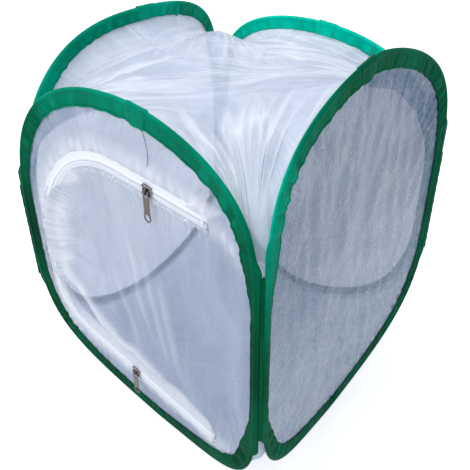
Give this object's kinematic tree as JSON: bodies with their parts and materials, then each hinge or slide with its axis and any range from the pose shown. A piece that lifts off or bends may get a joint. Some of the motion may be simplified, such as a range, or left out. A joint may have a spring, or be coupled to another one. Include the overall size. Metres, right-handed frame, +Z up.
{
  "type": "insect cage",
  "caption": "Pop-up mesh insect cage: four sprung hoops bound in tape and hinged at the corners, a clear window, a zipped door with two sliders.",
  "frame": {"origin": "centre of the footprint, on the surface that the cage stands on", "axes": "+Z up, -Y out through the zipped front wall, +X towards the clear window"},
  "size_m": [0.334, 0.301, 0.3663],
  "materials": {
    "binding_tape": "green woven tape",
    "mesh": "white knitted net",
    "window": "clear flexible sheet",
    "spring_wire": "spring wire",
    "zip_tape": "white woven tape",
    "zip_coil": "white coil",
    "zip_metal": "dark gunmetal"
  },
  "bodies": {
    "front": {"binding_front": "binding_tape", "hoop_wire_front": "spring_wire", "tape_lap_front": "binding_tape", "front_mesh": "mesh", "zip_tape_outer": "zip_tape", "zip_coil_outer": "zip_coil", "zip_stop_upper": "zip_metal", "zip_stop_lower": "zip_metal", "seam_cord_front_right": "binding_tape", "seam_cord_front_left": "binding_tape"},
    "right": {"binding_right": "binding_tape", "hoop_wire_right": "spring_wire", "tape_lap_right": "binding_tape", "clear_window": "window", "seam_cord_back_right": "binding_tape"},
    "left": {"binding_left": "binding_tape", "hoop_wire_left": "spring_wire", "tape_lap_left": "binding_tape", "left_mesh": "mesh", "seam_cord_back_left": "binding_tape"},
    "back": {"binding_back": "binding_tape", "hoop_wire_back": "spring_wire", "tape_lap_back": "binding_tape", "back_mesh": "mesh"},
    "covers": {"top_mesh": "mesh", "bottom_mesh": "mesh"},
    "door": {"door_flap": "mesh", "zip_tape_inner": "zip_tape", "zip_coil_inner": "zip_coil"},
    "slider_upper": {"slider_upper": "zip_metal"},
    "slider_lower": {"slider_lower": "zip_metal"},
    "pull_upper": {"pull_upper": "zip_metal"},
    "pull_lower": {"pull_lower": "zip_metal"}
  },
  "joints": [
    {"name": "fold", "type": "hinge", "parent": "front", "child": "right", "pos_m": [0.16568, -0.14918, 0.18], "axis": [0, 0, 1], "range_deg": [0, 45]},
    {"name": "fold_left", "type": "hinge", "parent": "front", "child": "left", "pos_m": [-0.13432, -0.14918, 0.18], "axis": [0, 0, 1], "range_deg": [0, 45]},
    {"name": "fold_back", "type": "hinge", "parent": "right", "child": "back", "pos_m": [0.13432, 0.14918, 0.18], "axis": [0, 0, 1], "range_deg": [-45, 0]},
    {"name": "covers_shift", "type": "slide", "parent": "front", "child": "covers", "axis": [-0.8788, -0.4772, 0], "range_m": [0, 0.22961], "deforming": ["top_mesh", "bottom_mesh"]},
    {"name": "door_hinge", "type": "hinge", "parent": "front", "child": "door", "pos_m": [0.10768, -0.139, 0.165], "axis": [0, 0, 1], "range_deg": [0, 120], "deforming": ["door_flap", "zip_tape_inner", "zip_coil_inner"]},
    {"name": "zip_upper", "type": "slide", "parent": "front", "child": "slider_upper", "axis": [0.9985, 0, -0.0542], "range_m": [-0.03, 0.049]},
    {"name": "zip_lower", "type": "slide", "parent": "front", "child": "slider_lower", "axis": [0.9939, 0, -0.1102], "range_m": [-0.05, 0.092]},
    {"name": "pull_swing_upper", "type": "hinge", "parent": "slider_upper", "child": "pull_upper", "pos_m": [0.04668, -0.1432, 0.27781], "axis": [-1, 0, 0], "range_deg": [0, 150]},
    {"name": "pull_swing_lower", "type": "hinge", "parent": "slider_lower", "child": "pull_lower", "pos_m": [0.00368, -0.1432, 0.06453], "axis": [-1, 0, 0], "range_deg": [0, 150]}
  ],
  "couplings": [
    {"joint": "fold_left", "follows": "fold", "ratio": 1},
    {"joint": "fold_back", "follows": "fold", "ratio": -1},
    {"joint": "covers_shift", "follows": "fold", "m_per_rad": 0.29235}
  ]
}
